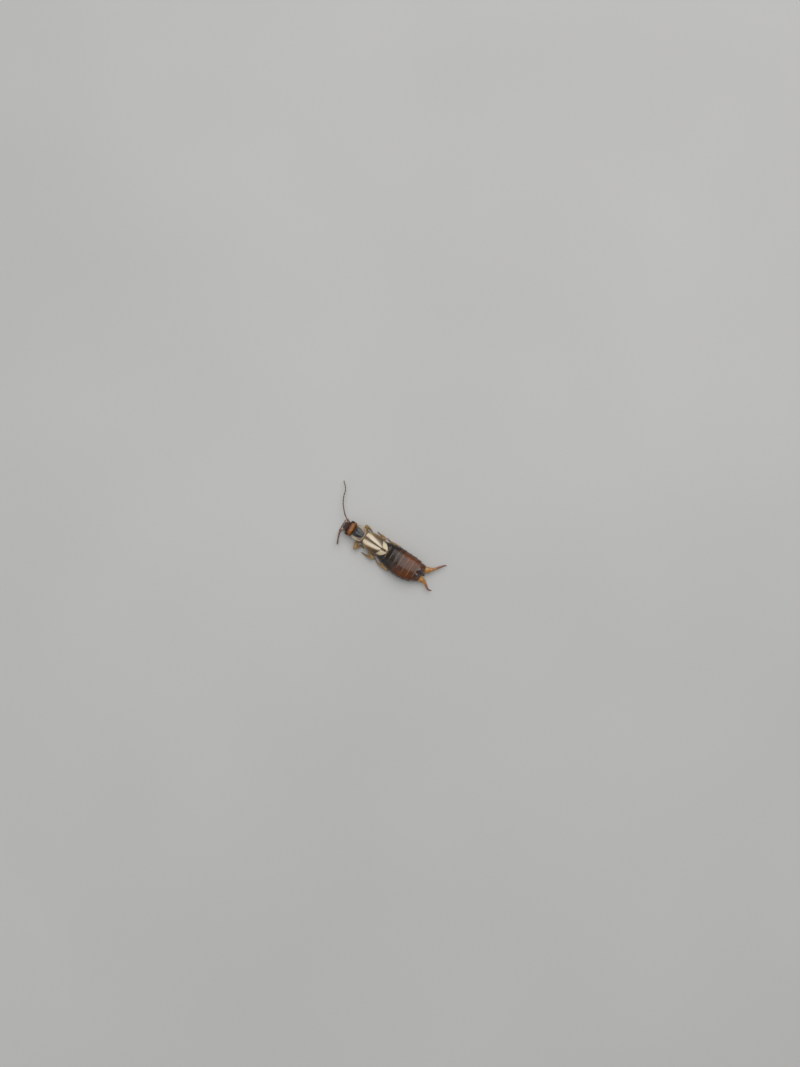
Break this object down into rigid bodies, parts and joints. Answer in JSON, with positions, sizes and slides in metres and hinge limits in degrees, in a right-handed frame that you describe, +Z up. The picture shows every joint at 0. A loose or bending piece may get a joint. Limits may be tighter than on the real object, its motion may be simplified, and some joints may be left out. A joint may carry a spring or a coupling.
{
  "type": "earwig",
  "caption": "Life-size still model of a common earwig, adult female, resting with its legs tucked in, one feeler held out and one folded back to its mouth.",
  "frame": {"origin": "centre of the abdomen's flat resting face, on the ground", "axes": "+Z up from the ground, +Y along the body towards the forceps, +X towards the animal's left"},
  "size_m": [0.0078, 0.0178, 0.0021],
  "materials": {
    "head_shell": "satin chestnut shell, darker in front",
    "mouthparts": "satin red-brown shell",
    "eye": "black, finely faceted",
    "feeler": "brown, finely hairy beads",
    "shield": "black-brown shell with cream, see-through side margins",
    "wing_cover": "straw-bronze leathery shell",
    "wing_tip": "cream membrane with a brown inner edge",
    "thorax": "ochre-brown",
    "abdomen_shell": "polished dark mahogany shell",
    "forceps": "amber at the base, red-brown to the tips",
    "leg": "ochre-yellow shell with fine hairs"
  },
  "bodies": {
    "root": {"head": "head_shell", "mouthparts": "mouthparts", "pronotum": "shield", "thorax": "thorax", "eye_left": "eye", "eye_right": "eye", "tegmen_left": "wing_cover", "tegmen_right": "wing_cover", "wing_tip_left": "wing_tip", "wing_tip_right": "wing_tip", "antenna_right": "feeler", "antenna_left": "feeler", "abdomen": "abdomen_shell", "last_tergite": "abdomen_shell", "forceps_left": "forceps", "forceps_right": "forceps", "leg_front_left": "leg", "leg_front_right": "leg", "leg_mid_left": "leg", "leg_mid_right": "leg", "leg_hind_left": "leg", "leg_hind_right": "leg"}
  },
  "joints": []
}
